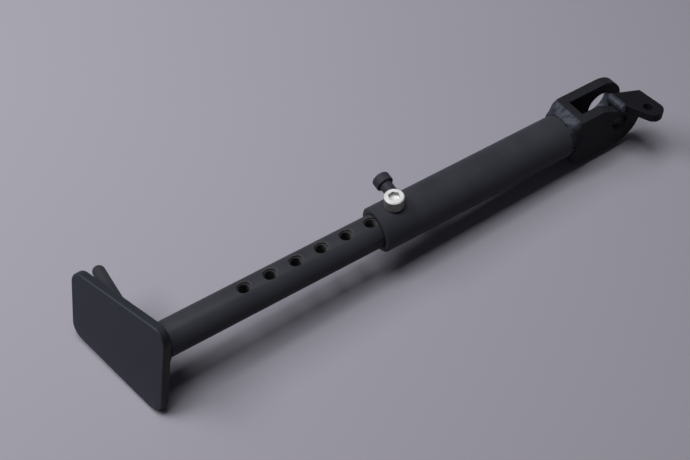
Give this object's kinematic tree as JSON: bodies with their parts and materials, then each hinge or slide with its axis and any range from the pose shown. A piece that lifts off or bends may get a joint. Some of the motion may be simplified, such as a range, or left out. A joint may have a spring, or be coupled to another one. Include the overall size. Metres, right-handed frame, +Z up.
{
  "type": "motorcycle side stand",
  "caption": "Length-adjustable side stand: a drilled bar locked by a cap screw in a tube with a pivot fork, a flat foot plate and a kick tang.",
  "frame": {"origin": "middle of the fork's slot on the pivot axis", "axes": "+Y along the pivot axis towards the ear with the plain bore, -X along the leg towards the foot plate, +Z up along the lock screw out of its head"},
  "size_m": [0.3882, 0.1023, 0.0636],
  "materials": {
    "tube_paint": "satin",
    "bar_paint": "satin",
    "plate_paint": "satin",
    "bead_paint": "semi-gloss",
    "screw_steel": "bright"
  },
  "bodies": {
    "stand": {"sleeve": "tube_paint", "leg": "bar_paint", "fork": "tube_paint", "fork_weld": "bead_paint", "switch_tab": "bar_paint", "tab_weld": "bead_paint", "spring_post": "tube_paint", "post_weld": "bead_paint", "foot_plate": "plate_paint", "foot_weld": "bead_paint", "kick_tang": "bar_paint", "tang_weld": "bead_paint"},
    "lock_screw": {"lock_screw": "screw_steel"}
  },
  "joints": [
    {"name": "lock_screw_out", "type": "slide", "parent": "stand", "child": "lock_screw", "axis": [0, 0, 1], "range_m": [0, 0.025]}
  ]
}
